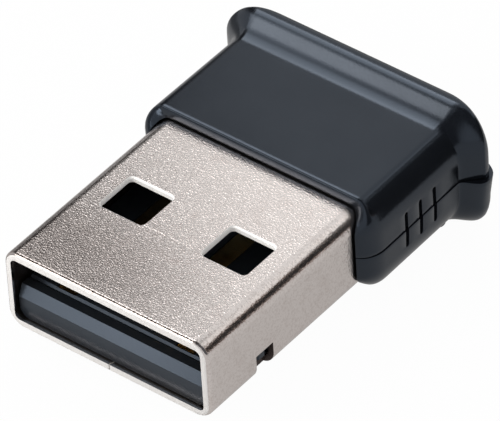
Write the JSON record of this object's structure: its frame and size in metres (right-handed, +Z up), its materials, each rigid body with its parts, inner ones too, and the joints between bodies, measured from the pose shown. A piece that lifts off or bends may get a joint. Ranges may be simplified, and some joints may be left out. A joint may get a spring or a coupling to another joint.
{
  "type": "usb wireless adapter",
  "caption": "Small wireless USB adapter: folded metal plug with black tongue in a dark two-part moulded housing with a flared rear lip.",
  "frame": {"origin": "middle of the footprint, at the height of the lowest point of the rear lip", "axes": "+Y from the plug's mouth towards the rear lip, +Z up from the underside to the upper panel, +X across the plug to the right seen from the mouth"},
  "size_m": [0.0158, 0.0202, 0.0069],
  "materials": {
    "nickel_plate": "satin nickel plate on folded sheet",
    "insulator_black": "moulded, fine satin",
    "contact_gold": "gold plated spring bronze",
    "housing_plastic": "satin dark blue-grey moulding",
    "board_laminate": "solder mask on glass laminate",
    "chip_epoxy": "moulded epoxy",
    "crystal_metal": "plated lid",
    "antenna_ceramic": "fired ceramic",
    "filter_ceramic": "fired ceramic",
    "bead_ferrite": "fired ferrite",
    "capacitor_ceramic": "fired ceramic with tinned ends",
    "resistor_ceramic": "coated ceramic with tinned ends"
  },
  "bodies": {
    "root": {"plug_shell": "nickel_plate", "plug_insulator": "insulator_black", "contact_supply": "contact_gold", "contact_data_minus": "contact_gold", "contact_data_plus": "contact_gold", "contact_ground": "contact_gold", "upper_housing": "housing_plastic", "lower_housing": "housing_plastic", "circuit_board": "board_laminate", "radio_chip": "chip_epoxy", "memory_chip": "chip_epoxy", "voltage_regulator": "chip_epoxy", "crystal": "crystal_metal", "chip_antenna": "antenna_ceramic", "band_filter": "filter_ceramic", "ferrite_bead": "bead_ferrite", "capacitor_1": "capacitor_ceramic", "capacitor_2": "capacitor_ceramic", "capacitor_3": "capacitor_ceramic", "capacitor_4": "capacitor_ceramic", "capacitor_5": "capacitor_ceramic", "capacitor_6": "capacitor_ceramic", "resistor_1": "resistor_ceramic", "resistor_2": "resistor_ceramic", "resistor_3": "resistor_ceramic", "resistor_4": "resistor_ceramic"}
  },
  "joints": []
}
